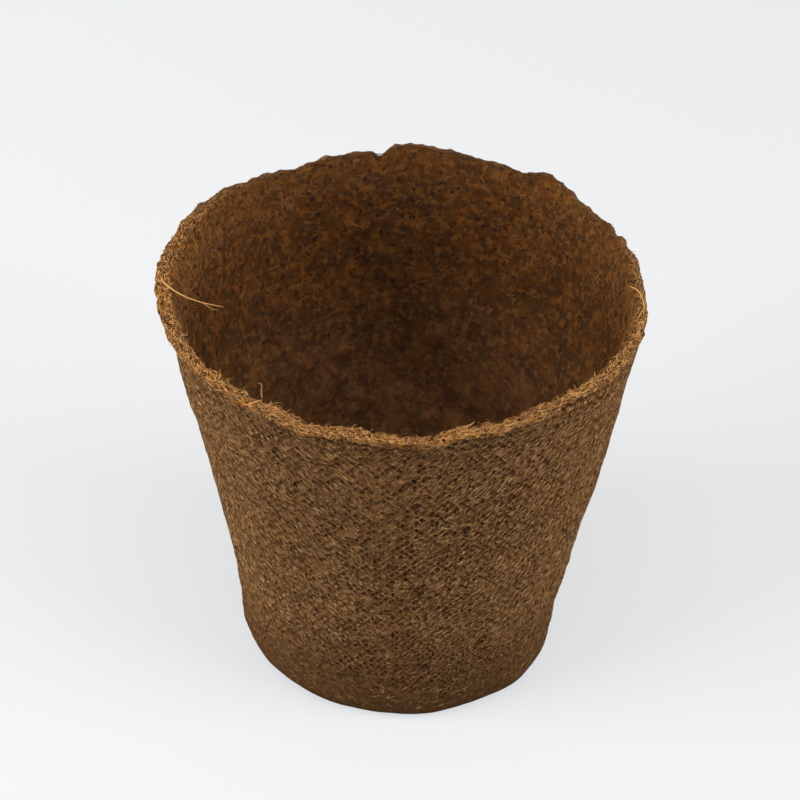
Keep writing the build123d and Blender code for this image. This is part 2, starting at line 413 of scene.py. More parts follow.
class Section:
    """The section of the shell in millimetres, before the felt's relief."""

    def __init__(self, shape):
        for name in PeatPotShape.__annotations__:
            setattr(self, name, getattr(shape, name) / MM)
        self.crease = self.pot_height - self.lip_depth
        self.slope = (self.neck_radius - self.base_radius) / self.crease
        self.floor_radius = self.base_radius + self.slope * self.floor_thickness - self.wall

    def foot(self, radius, height, rounding):
        """The arc between a floor and the wall that leaves it at a radius, from the wall down."""
        lean = atan2(self.slope, 1)
        middle = radius - rounding * (1 - sin(lean)) / cos(lean)
        turns = np.linspace(-lean, -pi / 2, FOOT_POINTS)
        return [(middle + rounding * cos(turn), height + rounding + rounding * sin(turn)) for turn in turns]

    def line(self, start, end, pitch):
        """Points from start to end, both left out, about a pitch apart."""
        count = max(1, round(hypot(end[0] - start[0], end[1] - start[1]) / pitch))
        return [tuple(np.array(start) + (np.array(end) - start) * step / count) for step in range(1, count)]

    def loop(self, row):
        """The closed section: underside, outer wall, rim, inner wall, floor and drain hole."""
        heel = self.foot(self.base_radius, 0, self.heel_radius)[::-1]
        corner = self.foot(self.floor_radius, self.floor_thickness, self.corner_radius)
        outer_crease = (self.neck_radius, self.crease)
        inner_crease = (self.neck_radius - self.wall, self.crease)
        shoulder = self.pot_height - self.rim_rounding
        part = self.rim_rounding / self.lip_depth
        outer = (self.rim_radius + (self.neck_radius - self.rim_radius) * part, shoulder)
        inner_rim = self.rim_radius - self.lip_wall
        inner = (inner_rim + (inner_crease[0] - inner_rim) * part, shoulder)
        middle, half = (outer[0] + inner[0]) / 2, (outer[0] - inner[0]) / 2
        arch = [(middle + half * cos(turn), shoulder + self.rim_rounding * sin(turn))
                for turn in np.linspace(0, pi, RIM_POINTS)]
        hole_low, hole_high = (self.drain_radius, 0), (self.drain_radius, self.floor_thickness)
        return [
            hole_low, *self.line(hole_low, heel[0], UNDER_PITCH),
            *heel, *self.line(heel[-1], outer_crease, row),
            outer_crease, *self.line(outer_crease, arch[0], row),
            *arch, *self.line(arch[-1], inner_crease, row),
            inner_crease, *self.line(inner_crease, corner[0], row * 1.5),
            *corner, *self.line(corner[-1], hole_high, FLOOR_PITCH),
            hole_high, *self.line(hole_high, hole_low, HOLE_PITCH),
        ]

    def drawn(self, angle, height):
        """How far the drawn-in sides lie inwards at an angle and a height."""
        deep = self.side_draw * (1 - height / self.side_reach)
        sides = [deep - self.side_shift * (1 - np.cos(np.radians(angle - middle))) for middle in DRAWN_SIDES]
        return np.maximum(np.max(sides, axis=0), 0)

    def outer_radius(self, height):
        """The radius of the outer wall at some heights."""
        return np.interp(height, (0, self.crease, self.pot_height),
                         (self.base_radius, self.neck_radius, self.rim_radius))

    def inner_radius(self, height):
        """The radius of the inner wall at some heights."""
        return np.interp(height, (self.floor_thickness, self.crease, self.pot_height),
                         (self.floor_radius, self.neck_radius - self.wall, self.rim_radius - self.lip_wall))

    def inside(self, radius, height):
        """Which points are on the inner side of the shell."""
        middle = (self.outer_radius(height) + self.inner_radius(height)) / 2
        return (height > self.floor_thickness / 2) & (radius < middle)


def spin_section(section, columns, row):
    """The plain shell: the closed section spun all the way round."""
    loop = section.loop(row)
    deselect()
    bpy.ops.mesh.primitive_circle_add(vertices=len(loop), radius=section.rim_radius * MM, fill_type="NOTHING")
    piece = bpy.context.object
    piece.name = "felt_shell"
    piece.data.name = "felt_shell"
    set_points(piece.data, [(radius, 0, height) for radius, height in loop])
    edit(
        piece.data, "edges", np.ones(len(piece.data.edges), dtype=bool),
        lambda: bpy.ops.mesh.spin(steps=columns, angle=tau, center=(0, 0, 0), axis=(0, 0, 1)),
        lambda: bpy.ops.mesh.select_all(action="SELECT"),
        lambda: bpy.ops.mesh.remove_doubles(threshold=0.02 * MM),
        lambda: bpy.ops.mesh.normals_make_consistent(inside=False),
    )
    put_in_order(piece.data)
    return piece


def make_diamonds(piece, section):
    """Turns the outer wall's squares into the diamonds between crossed threads, and gives their faces."""
    mesh = piece.data
    centres = face_centres(mesh)
    radius = np.hypot(centres[:, 0], centres[:, 1])
    chosen = ~section.inside(radius, centres[:, 2]) & (centres[:, 2] > section.heel_radius * 0.86) \
        & (centres[:, 2] < section.pot_height - section.rim_rounding)
    known = len(mesh.vertices)
    edit(mesh, "polygons", chosen, lambda: bpy.ops.mesh.poke())

    # The squares' own edges, which join two old corners and lie between two of the new triangles
    corners = np.empty(len(mesh.edges) * 2, dtype=int)
    mesh.edges.foreach_get("vertices", corners)
    old = (corners.reshape(-1, 2) < known).all(axis=1)
    beside = np.zeros(len(mesh.edges), dtype=int)
    for face in mesh.polygons:
        if face.loop_total == 3 and max(face.vertices) >= known:
            for loop in face.loop_indices:
                beside[mesh.loops[loop].edge_index] += 1
    edit(mesh, "edges", old & (beside == 2), lambda: bpy.ops.mesh.dissolve_edges(use_verts=False))
    return np.array([face.loop_total == 4 and max(face.vertices) >= known for face in mesh.polygons])


def slant_at(angles):
    """How much the rows of pits slant at some angles round the pot."""
    return np.interp(np.asarray(angles) % 360, list(ROW_SLANT), list(ROW_SLANT.values()))


def press_pits(piece, felt, diamonds, random):
    """Insets a pit into most diamonds and stretches it along the rows that the screen left."""
    mesh = piece.data
    centres = face_centres(mesh)
    fill = wave("missing_pits", centres, felt) + random.uniform(-0.7, 0.95, len(centres))
    formed = smooth_step(3.5, 13, centres[:, 2] + wave("foot_line", centres, felt))
    chosen = (fill < PIT_FILL) & (random.random(len(centres)) < 0.15 + 0.85 * formed)
    edit(mesh, "polygons", diamonds & chosen,
         lambda: bpy.ops.mesh.inset(thickness=felt.ridge, depth=0, use_individual=True))

    # Each pit gets its own length and width along the diamond's sides, place and depth
    points = points_of(mesh)
    pit = np.zeros(len(points))
    for face in mesh.polygons:
        if not face.select or face.loop_total != 4:
            continue
        index = list(face.vertices)
        corner = points[index]
        middle = corner.mean(axis=0)
        angle = np.degrees(atan2(middle[1], middle[0]))
        onwards = np.array((-sin(radians(angle)), cos(radians(angle)), 0))
        sides = [corner[1] - corner[0], corner[3] - corner[0]]
        slant = float(slant_at(angle)) + random.normal(0, SLANT_SPREAD)
        size = random.uniform(*PIT_SIZE)
        grown = []
        for side in sides:
            up_right = np.sign((side @ onwards) * side[2])
            stretch = random.normal(1 + PIT_STRETCH * slant * up_right, STRETCH_SPREAD)
            grown.append(np.clip(size * stretch, *PIT_LIMITS))
        for side in sides:
            middle = middle + random.uniform(-PIT_SHIFT, PIT_SHIFT) * side
        for vertex, (along, across) in zip(index, ((-1, -1), (1, -1), (1, 1), (-1, 1))):
            points[vertex] = middle + (along * grown[0] * sides[0] + across * grown[1] * sides[1]) / 2
        pit[index] = random.uniform(*PIT_DEPTH) * (0.45 + 0.55 * smooth_step(4, 16, middle[2]))
    set_points(mesh, points)
    set_value(mesh, "pit", pit)


def hollows_at(angle, height):
    """How far the shallow hollows and swellings move the wall outwards."""
    move = np.zeros(len(height))
    for middle, level, wide, tall, deep in HOLLOWS:
        turned = (angle - middle + 180) % 360 - 180
        move += deep * np.exp(-0.8 * (turned / wide) ** 4 - 0.8 * ((height - level) / tall) ** 4)
    return move


def voids_at(section, points, random):
    """Small voids at random places of the outer wall, 1 in the middle of each."""
    voids = np.zeros(len(points))
    turns = random.uniform(0, 360, VOIDS)
    levels = random.uniform(5, 71, VOIDS)
    for turn, level, size in zip(turns, levels, random.uniform(0.35, 0.8, VOIDS)):
        where = np.array((cos(radians(turn)), sin(radians(turn)), 0)) * section.outer_radius(level)
        where[2] = level
        near = np.abs(points - where).max(axis=1) < 3 * size
        gap = ((points[near] - where) ** 2).sum(axis=1) / size ** 2
        voids[near] = np.maximum(voids[near], np.exp(-gap * 1.4))
    return voids


def crease_at(angle, drop):
    """The crease under the lip, its painted shade, the swelling below it and its painted highlight, and the
    smooth felt above, by the drop.
    """
    turn = angle % 360
    fold = smooth_step(CREASE_START, CREASE_FULL, turn) * (1 - smooth_step(CREASE_FADES, CREASE_END, turn))
    level = 1.9 + 0.1 * (turn - 313)
    crease = fold * np.exp(-((drop - level) / 0.4) ** 2)
    shade = fold * np.exp(-((drop - level) / 0.42) ** 2)
    below = fold * np.exp(-((drop - level - 1.0) / 0.6) ** 2)
    return crease, shade, below, fold * smooth_step(level + 1.6, level + 0.6, drop)


def lift_felt(mesh, section, felt, random):
    """Gives the plain shell its strayed and torn form and the relief of the felt."""
    points = points_of(mesh)
    radius = np.hypot(points[:, 0], points[:, 1])
    angle = np.degrees(np.arctan2(points[:, 1], points[:, 0]))
    height = points[:, 2].copy()
    inner = section.inside(radius, height)
    pit = get_value(mesh, "pit")

    def relief(name):
        return wave(name, points, felt)

    # How much each point belongs to the lip, to the rim's last 2 mm, to the wall, and not to the floor
    lip = smooth_step(section.crease, section.pot_height, height)
    near_rim = smooth_step(section.pot_height - 2.2, section.pot_height - 0.5, height)
    wall = smooth_step(2, 7, height)
    on_wall = np.clip(radius / section.base_radius, 0, 1)
    underside = ~inner & (height < 0.3)

    # The whole shell strays from round and bends in and out a little
    move = lip * round_table(RIM_STRAY, angle, STRAY_BLUR) - on_wall * section.drawn(angle, height)
    move += on_wall * (1 - lip) * hollows_at(angle, height)
    move += wall * (1 - 0.6 * lip) * relief("wall_bend") + on_wall * (1 - wall) * relief("foot_bend")

    # Outer side: pits, voids, felt that is never flat, and the crease under the lip
    voids = voids_at(section, points, random)
    drop = section.pot_height + round_table(RIM_TEAR, angle, 1) - height
    crease, shade, below, smooth = crease_at(angle, drop)
    pitted = (felt.pit_depth / MM) * pit * (0.8 + relief("pit_change"))
    outer_move = (relief("lumps") + relief("grain")) * (0.4 + 0.6 * wall) - pitted - 0.5 * voids
    outer_move += 0.4 * below - 0.9 * crease

    # Inner side: clumps of coarser felt
    clumps = relief("clumps") + relief("small_clumps") + relief("wide_clumps")
    inner_move = (felt.clump_depth / MM) * clumps
    move += np.where(inner, -inner_move * (1 - 0.7 * near_rim), outer_move * (1 - 0.5 * near_rim))
    lifted = radius + np.where(height < 0.3, on_wall * move * 0.5, move)

    # The rim: torn line, ragged edge, and rough top
    rough = near_rim * (relief("rim_lumps") + relief("rim_grain"))
    raised = height + lip * round_table(RIM_TEAR, angle, TEAR_BLUR) + rough
    lifted += near_rim * (relief("rim_width") + 0.1)

    # The floor's two faces
    floor_top = inner & (height < section.floor_thickness + 1.5)
    raised += np.where(floor_top, relief("floor"), 0)
    under = (relief("underside") + 0.072) * (radius < section.base_radius - section.heel_radius)
    raised += np.where(underside, np.maximum(under, 0), 0)

    # Shift vertices along the surface as well, so the screen's rows aren't ruled lines
    turned = np.radians(angle) + wall * relief("sideways") / np.maximum(radius, 1)
    raised += wall * (1 - near_rim) * relief("upwards")
    set_points(mesh, places(lifted, turned, np.maximum(raised, LOWEST)))

    # The pit attribute is the mask of painted shade: in the pits, in the voids and along the crease under the
    # lip
    set_value(mesh, "pit", np.clip(pit * (1 - smooth) + 1.3 * voids + 2.2 * shade, 0, 1.6))
    set_value(mesh, "inner", inner)
    set_value(mesh, "slant", slant_at(angle))

    # The golden felt: a band along the torn rim and the top of the inner wall, and a painted highlight in the
    # same golden colour on the swelling under the crease
    ragged = relief("torn_line")
    top = smooth_step(section.pot_height - 0.85, section.pot_height - 0.3, height + ragged)
    across = section.outer_radius(height) - radius + ragged
    band = round_table(RIM_BAND, angle, GOLD_BLUR)
    golden = top * (1 - smooth_step(band - 0.2, band + 0.5, across))
    under_rim = 0.6 * inner * smooth_step(section.pot_height - 9, section.pot_height - 1, height + 4 * ragged)
    golden = round_table(RIM_GOLD, angle, GOLD_BLUR) * np.maximum(golden, under_rim)
    set_value(mesh, "rim", np.maximum(golden, 0.7 * below))


def build_shell(context):
    """The pot as one closed piece of felt."""
    settings = context.scene.peat_pot
    section = Section(settings.shape)
    felt = settings.felt
    random = np.random.default_rng(felt.seed)
    piece = spin_section(section, felt.columns, felt.row / MM)
    mesh = piece.data
    press_pits(piece, felt, make_diamonds(piece, section), random)

    centres = face_centres(mesh)
    inner = section.inside(np.hypot(centres[:, 0], centres[:, 1]), centres[:, 2])
    edit(mesh, "polygons", inner & (centres[:, 2] > section.floor_thickness + 0.2),
         lambda: bpy.ops.mesh.subdivide(number_cuts=1))
    centres = face_centres(mesh)
    turned = np.degrees(np.arctan2(centres[:, 1], centres[:, 0])) % 360
    creased = (centres[:, 2] > section.crease - 1) & (turned > CREASE_START - 3) & (turned < CREASE_END + 3)
    edit(mesh, "polygons", creased | (centres[:, 2] > section.pot_height - section.rim_rounding),
         lambda: bpy.ops.mesh.subdivide(number_cuts=2))
    edit(mesh, "polygons", np.ones(len(mesh.polygons), dtype=bool),
         lambda: bpy.ops.mesh.quads_convert_to_tris(quad_method="BEAUTY", ngon_method="BEAUTY"))
    lift_felt(mesh, section, felt, random)
    deselect()
    piece.select_set(True)
    bpy.ops.object.shade_smooth()
    return piece


# Fibres


def tubes(name, paths, thickness, tips, tone, sides=3):
    """One mesh of thin tapered tubes: a path, a thickness and a tone for each, in millimetres."""
    count, steps, _ = paths.shape
    along = np.gradient(paths, axis=1)
    along[np.linalg.norm(along, axis=2) < 1e-5] = (1, 0, 0)
    along /= np.linalg.norm(along, axis=2, keepdims=True)
    up = np.zeros_like(along)
    up[..., 2] = 1
    steep = np.abs(along[..., 2]) > 0.9
    up[steep] = (1, 0, 0)
    across = np.cross(along, up)
    across /= np.linalg.norm(across, axis=2, keepdims=True)
    upper = np.cross(across, along)
    share = np.linspace(0, 1, steps)
    taper = 1 - (1 - tips) * share ** 1.5
    radius = (thickness[:, None] / 2 * taper)[..., None]
    rings = [paths + radius * (cos(tau * side / sides) * across + sin(tau * side / sides) * upper)
             for side in range(sides)]
    points = np.stack(rings, axis=2).reshape(-1, 3)

    start = (np.arange(count) * steps * sides)[:, None, None, None]
    step = (np.arange(steps - 1) * sides)[None, :, None, None]
    side = np.arange(sides)[None, None, :, None]
    after = (side + 1) % sides
    quads = np.concatenate(np.broadcast_arrays(side, after, after + sides, side + sides), axis=3)
    quads = (quads + start + step).reshape(-1, 4)
    first = np.arange(sides)[::-1][None, :] + start[:, 0, 0]
    last = np.arange(sides)[None, :] + start[:, 0, 0] + (steps - 1) * sides
    mesh = bpy.data.meshes.new(name)
    mesh.from_pydata((points * MM).tolist(), [], quads.tolist() + first.tolist() + last.tolist())
    piece = link_mesh(name, mesh)
    bpy.ops.object.shade_smooth()
    set_value(mesh, "tone", np.repeat(tone, steps * sides))
    return piece


def surface_of(mesh):
    """A mesh's surface, to find the nearest place on it."""
    faces = [list(face.vertices) for face in mesh.polygons]
    return BVHTree.FromPolygons([Vector(point) for point in points_of(mesh)], faces)


def laid(surface, points, lifts):
    """Points brought to the nearest place of the felt, each lifted off it by some millimetres."""
    found = []
    for point, lift in zip(points, lifts):
        place, normal, _, _ = surface.find_nearest(Vector(point))
        found.append(place + normal * lift)
    return np.array(found)


def wander(random, heading, steps, lengths, bend):
    """Flat paths that start at zero with a heading and turn as they go: along and up, in millimetres."""
    count = len(heading)
    turn = random.normal(0, bend, (count, steps - 1)).cumsum(axis=1) + random.normal(0, bend, count)[:, None]
    heading = heading[:, None] + turn
    step = (lengths / (steps - 1))[:, None]
    along = np.concatenate((np.zeros((count, 1)), (np.cos(heading) * step).cumsum(axis=1)), axis=1)
    up = np.concatenate((np.zeros((count, 1)), (np.sin(heading) * step).cumsum(axis=1)), axis=1)
    return along, up


def wall_strands(section, surface, random, count, inside):
    """Paths of short fibres that lie in the outer or the inner wall, with their thickness."""
    steps, lowest, shape, scale, bend, thin, thick, lift = INNER_CHIPS if inside else WALL_FIBRES
    lengths = random.gamma(shape, scale, count) + 0.6
    radius_at = section.inner_radius if inside else section.outer_radius
    place = random.uniform(lowest, section.pot_height - 2, count)
    turn = random.uniform(0, tau, count)

    # Inside, the thinner ones gather under the rim at the left and the right
    high = inside & (random.random(count) < np.abs(np.cos(turn)) + 0.1)
    place = np.where(high, section.pot_height - 1 - random.gamma(2, 3.5, count).clip(0, 40), place)
    heading = random.uniform(0, tau, count)
    if not inside:
        slant = slant_at(np.degrees(turn)) + random.normal(0, 0.45, count)
        slope = np.where(slant > 0, ROW_SLOPE, 180 - ROW_SLOPE)
        along_rows = np.radians(slope) + random.normal(0, 0.3, count)
        heading = np.where(random.random(count) < 0.82, along_rows, heading)
    along, up = wander(random, heading, steps, lengths, bend)
    thickness = random.uniform(thin, thick, count) * np.where(high, 0.4, 1)
    paths = np.empty((count, steps, 3))
    for number in range(count):
        height = place[number] + up[number]
        radius = radius_at(height)
        angle = turn[number] + along[number] / radius
        paths[number] = laid(surface, places(radius, angle, height), np.full(steps, thickness[number] * lift))
    return paths, thickness


def rim_strands(section, surface, random, count):
    """Paths of the torn rim's fibres, some of them standing out, their thickness and how golden they are."""
    steps = TORN_FIBRE_POINTS
    lengths = random.gamma(4, 0.3, count) + 0.45
    along, up = wander(random, random.uniform(0, tau, count), steps, lengths, 0.7)
    turn = random.uniform(0, tau, count)
    angles = np.degrees(turn)
    gold = round_table(RIM_GOLD, angles, GOLD_BLUR)
    across = random.uniform(-0.02, 1.0, count) * (round_table(RIM_BAND, angles, GOLD_BLUR) + 0.3)
    stands = random.random(count) < gold ** 2 * (0.03 + 0.14 * np.clip(-np.sin(turn), 0, 1))
    lift = np.where(stands, random.uniform(0.3, 1.0, count), random.uniform(0.0, 0.2, count))
    top = section.pot_height + round_table(RIM_TEAR, angles, TEAR_BLUR)
    outer = section.rim_radius + round_table(RIM_STRAY, angles, STRAY_BLUR)
    thickness = random.uniform(0.09, 0.23, count) * (0.6 + 0.4 * gold)
    share = np.linspace(0, 1, steps)
    paths = np.empty((count, steps, 3))
    for number in range(count):
        radius = outer[number] - across[number] + 0.6 * up[number]
        angle = turn[number] + along[number] / section.rim_radius
        drop = random.uniform(0, 0.5) if across[number] < 0.25 else 0
        height = top[number] - drop + np.zeros(steps)
        lifts = thickness[number] * 0.2 + lift[number] * share ** 2
        paths[number] = laid(surface, places(radius, angle, height), lifts)
    return paths, thickness, gold


def inside_box(piece):
    """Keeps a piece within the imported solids' box."""
    low, high = (np.array(corner) / MM for corner in cad_box)
    set_points(piece.data, np.clip(points_of(piece.data), low, high))


def rounded_path(points, steps):
    """A smooth path through a few points."""
    points = np.array(points, dtype=float)
    ends = np.concatenate(([2 * points[0] - points[1]], points, [2 * points[-1] - points[-2]]))
    found = []
    for place in np.linspace(0, len(points) - 1, steps):
        number = min(int(place), len(points) - 2)
        share = place - number
        a, b, c, d = ends[number:number + 4]
        found.append(0.5 * (2 * b + (c - a) * share + (2 * a - 5 * b + 4 * c - d) * share ** 2
                            + (3 * b - a - 3 * c + d) * share ** 3))
    return np.array(found)


# Materials


def add_node(tree, kind, links=None, **settings):
    """A node with its settings; links gives each input a value or the output that feeds it."""
    node = tree.nodes.new(kind)
    for name, value in settings.items():
        setattr(node, name, value)
    for name, value in (links or {}).items():
        if isinstance(value, bpy.types.NodeSocket):
            tree.links.new(value, node.inputs[name])
        else:
            node.inputs[name].default_value = value
    return node


def fade(tree, value, start, end, low=0.0, high=1.0, kind="LINEAR"):
    """A share that goes from low to high as a value goes from start to end."""
    return add_node(tree, "ShaderNodeMapRange", {
        "Value": value, "From Min": start, "From Max": end, "To Min": low, "To Max": high},
        interpolation_type=kind).outputs["Result"]


def part_of(tree, share, value):
    """A value times a share."""
    return add_node(tree, "ShaderNodeMath", {0: value, 1: share}, operation="MULTIPLY").outputs[0]


def split(tree, vector, axis):
    """One of the three numbers of a vector."""
    return add_node(tree, "ShaderNodeSeparateXYZ", {"Vector": vector}).outputs[axis]


def new_group(name, inputs, *outputs):
    """An empty shader node group and its end nodes. A vector is an input without a default, or a normal."""
    tree = bpy.data.node_groups.new(name, "ShaderNodeTree")
    for title, default in inputs.items():
        kind = "NodeSocketVector" if default is None else "NodeSocketFloat"
        socket = tree.interface.new_socket(title, in_out="INPUT", socket_type=kind)
        if default is not None:
            socket.default_value = default
    for title in outputs:
        kind = "NodeSocketVector" if title == "Normal" else "NodeSocketFloat"
        tree.interface.new_socket(title, in_out="OUTPUT", socket_type=kind)
    return tree, tree.nodes.new("NodeGroupInput").outputs, tree.nodes.new("NodeGroupOutput").inputs


def blotch_group():
    """Blotches of a size in millimetres, as a mask with a soft edge."""
    name = "felt_blotches"
    if name in bpy.data.node_groups:
        return bpy.data.node_groups[name]
    inputs = {"Vector": None, "Size": 3.0, "Low": 0.4, "High": 0.6, "Detail": 3.0}
    tree, given, end = new_group(name, inputs, "Mask")
    scale = add_node(tree, "ShaderNodeMath", {0: 1 / MM, 1: given["Size"]}, operation="DIVIDE")
    cloud = add_node(tree, "ShaderNodeTexNoise", {
        "Vector": given["Vector"], "Scale": scale.outputs[0], "Detail": given["Detail"], "Roughness": 0.6})
    mask = fade(tree, cloud.outputs["Fac"], given["Low"], given["High"], kind="SMOOTHSTEP")
    tree.links.new(mask, end["Mask"])
    return tree


def streak_group():
    """Fine slanting streaks of fibre, up to the right or to the left by Slant, as a light and a dark mask."""
    name = "fibre_streaks"
    if name in bpy.data.node_groups:
        return bpy.data.node_groups[name]
    tree, given, end = new_group(name, {"Vector": None, "Size": 0.3, "Slant": 0.0}, "Light", "Dark")
    scale = add_node(tree, "ShaderNodeMath", {0: 1 / MM, 1: given["Size"]}, operation="DIVIDE")
    height = split(tree, given["Vector"], "Z")
    grains = []
    for twist in (30.0, -30.0):
        twisted = add_node(tree, "ShaderNodeVectorRotate", {
            "Vector": given["Vector"], "Angle": part_of(tree, twist, height)}, rotation_type="Z_AXIS")
        stretched = add_node(tree, "ShaderNodeMapping", {
            "Vector": twisted.outputs[0], "Scale": (1.0, 1.0, 0.32)})
        grain = add_node(tree, "ShaderNodeTexNoise", {
            "Vector": stretched.outputs[0], "Scale": scale.outputs[0], "Detail": 2.0, "Distortion": 0.2})
        grains.append(grain.outputs["Fac"])
    difference = add_node(tree, "ShaderNodeMath", {0: grains[1], 1: grains[0]}, operation="SUBTRACT")
    both = add_node(tree, "ShaderNodeMath", {
        0: fade(tree, given["Slant"], -0.8, 0.8), 1: difference.outputs[0], 2: grains[0]},
        operation="MULTIPLY_ADD")
    for title, low, high in (("Light", 0.52, 0.64), ("Dark", 0.48, 0.37)):
        mask = fade(tree, both.outputs[0], low, high, kind="SMOOTHSTEP")
        tree.links.new(mask, end[title])
    return tree


def bump_group():
    """The felt's finest relief, as a normal."""
    name = "felt_bump"
    if name in bpy.data.node_groups:
        return bpy.data.node_groups[name]
    tree, given, end = new_group(name, {"Vector": None, "Streaks": 0.0, "Strength": 0.6}, "Normal")
    grain = add_node(tree, "ShaderNodeTexNoise", {
        "Vector": given["Vector"], "Scale": 2400.0, "Detail": 4.0, "Roughness": 0.65})
    both = add_node(tree, "ShaderNodeMath", {0: given["Streaks"], 1: 0.5, 2: grain.outputs["Fac"]},
                    operation="MULTIPLY_ADD")
    bump = add_node(tree, "ShaderNodeBump", {
        "Height": both.outputs[0], "Strength": given["Strength"], "Distance": 0.25 * MM})
    tree.links.new(bump.outputs["Normal"], end["Normal"])
    return tree


def use_group(tree, group, links):
    """A shader node group in a material, with the material's own values."""
    return add_node(tree, "ShaderNodeGroup", links, node_tree=group)


def mix(tree, share, first, second, blend="MIX"):
    """Mixes two colours."""
    node = tree.nodes.new("ShaderNodeMix")
    node.data_type = "RGBA"
    node.blend_type = blend
    sockets = [socket for socket in node.inputs if socket.enabled]
    for socket, value in zip(sockets, (share, first, second)):
        if isinstance(value, bpy.types.NodeSocket):
            tree.links.new(value, socket)
        else:
            socket.default_value = value
    return next(socket for socket in node.outputs if socket.enabled)


def new_material(name):
    material = bpy.data.materials.new(name)
    material.use_nodes = True
    tree = material.node_tree
    tree.nodes.clear()
    end = tree.nodes.new("ShaderNodeOutputMaterial")
    shader = tree.nodes.new("ShaderNodeBsdfPrincipled")
    tree.links.new(shader.outputs["BSDF"], end.inputs["Surface"])
    return material, tree, shader


def felt_material(tint):
    """Pressed peat and wood fibre: brown, mottled and golden where it is torn, with painted shade in its
    pits, at the heel, at the back and on the floor inside, painted light deep inside, and a painted highlight
    under the crease.
    """
    material, tree, shader = new_material("peat_felt")
    place = add_node(tree, "ShaderNodeTexCoord").outputs["Object"]
    height = split(tree, place, "Z")

    def blotches(size, low, high, detail=3.0):
        return use_group(tree, blotch_group(), {
            "Vector": place, "Size": size, "Low": low, "High": high, "Detail": detail}).outputs["Mask"]

    def attribute(name):
        return add_node(tree, "ShaderNodeAttribute", attribute_name=name).outputs["Fac"]

    streaks = use_group(tree, streak_group(), {"Vector": place, "Size": 0.22, "Slant": attribute("slant")})
    light, dark = streaks.outputs["Light"], streaks.outputs["Dark"]

    # Outer wall: mottled and streaked above the heel, with painted shade in the pits, the voids and the
    # crease, and painted shade towards the heel
    outer = mix(tree, blotches(5.5, 0.38, 0.62), tint.outer_felt, tint.outer_warm)
    outer = mix(tree, blotches(3.2, 0.52, 0.7), outer, tint.outer_green)
    outer = mix(tree, blotches(0.6, 0.5, 0.7), outer, tint.outer_fleck)
    calm = fade(tree, height, 3 * MM, 24 * MM, low=0.45)
    outer = mix(tree, part_of(tree, calm, part_of(tree, 0.8, light)), outer, tint.outer_light)
    outer = mix(tree, part_of(tree, calm, part_of(tree, 0.95, dark)), outer, tint.outer_dark)
    # Painted shade: the pit colour darkens the pits, the voids and the crease under the lip
    outer = mix(tree, fade(tree, attribute("pit"), 0.2, 1.25, high=0.75), outer, tint.pit)
    # Painted shade: the outer wall grows darker towards the heel
    heel = fade(tree, height, 26 * MM, 3 * MM, high=0.9, kind="SMOOTHSTEP")
    outer = mix(tree, heel, outer, HEEL_PAINTED_SHADE, "MULTIPLY")

    # Inner wall: coarse clumps, clearest near the rim
    clear = fade(tree, height, 22 * MM, 62 * MM, low=0.4)
    inner = mix(tree, blotches(5.0, 0.42, 0.6), tint.inner_felt, tint.inner_warm)
    inner = mix(tree, part_of(tree, clear, blotches(1.4, 0.49, 0.64, 1.5)), inner, tint.inner_light)
    inner = mix(tree, part_of(tree, 0.4, blotches(2.6, 0.56, 0.7)), inner, tint.inner_green)
    inner = mix(tree, part_of(tree, clear, blotches(1.9, 0.61, 0.72)), inner, tint.inner_red)
    inner = mix(tree, part_of(tree, clear, blotches(1.0, 0.54, 0.67)), inner, tint.inner_dark)
    # Painted shade: the back of the inside is darkened
    behind = fade(tree, split(tree, place, "Y"), 30 * MM, 39 * MM)
    inner = mix(tree, behind, inner, BACK_PAINTED_SHADE, "MULTIPLY")
    # Painted light: the inside grows brighter deep down, where shade falls
    deep = fade(tree, height, 60 * MM, 8 * MM, kind="SMOOTHSTEP")
    inner = mix(tree, deep, inner, DEEP_PAINTED_LIGHT, "MULTIPLY")
    # Painted shade: darker again on the pot's floor and just above it
    ground = fade(tree, height, 14 * MM, 4 * MM, kind="SMOOTHSTEP")
    inner = mix(tree, ground, inner, POT_FLOOR_PAINTED_SHADE, "MULTIPLY")

    torn = mix(tree, blotches(0.9, 0.4, 0.54), tint.torn_felt, tint.torn_dark)
    torn = mix(tree, part_of(tree, 0.8, light), torn, tint.torn_light)

    felt = mix(tree, attribute("inner"), outer, inner)
    # The rim attribute holds the golden torn felt and the painted highlight under the crease
    felt = mix(tree, attribute("rim"), felt, torn)
    tree.links.new(felt, shader.inputs["Base Color"])
    grain = add_node(tree, "ShaderNodeMath", {0: light, 1: dark}, operation="SUBTRACT").outputs[0]
    normal = use_group(tree, bump_group(), {"Vector": place, "Streaks": grain, "Strength": 0.8})
    tree.links.new(normal.outputs["Normal"], shader.inputs["Normal"])
    shader.inputs["Roughness"].default_value = 0.92
    shader.inputs["Specular IOR Level"].default_value = 0.1
    return material


def fibre_material(name, dark, pale):
    """Wood fibre between a dark and a pale colour, by the tone of each strand."""
    material, tree, shader = new_material(name)
    place = add_node(tree, "ShaderNodeTexCoord").outputs["Object"]
    tone = add_node(tree, "ShaderNodeAttribute", attribute_name="tone").outputs["Fac"]
    blotches = use_group(tree, blotch_group(), {"Vector": place, "Size": 0.8, "Low": 0.45, "High": 0.7})
    fibre = mix(tree, part_of(tree, 0.4, blotches.outputs["Mask"]), mix(tree, tone, dark, pale), dark)
    tree.links.new(fibre, shader.inputs["Base Color"])
    streaks = use_group(tree, streak_group(), {"Vector": place, "Size": 0.1}).outputs["Light"]
    normal = use_group(tree, bump_group(), {"Vector": place, "Streaks": streaks, "Strength": 0.3})
    tree.links.new(normal.outputs["Normal"], shader.inputs["Normal"])
    shader.inputs["Roughness"].default_value = 0.75
    shader.inputs["Specular IOR Level"].default_value = 0.3
    return material


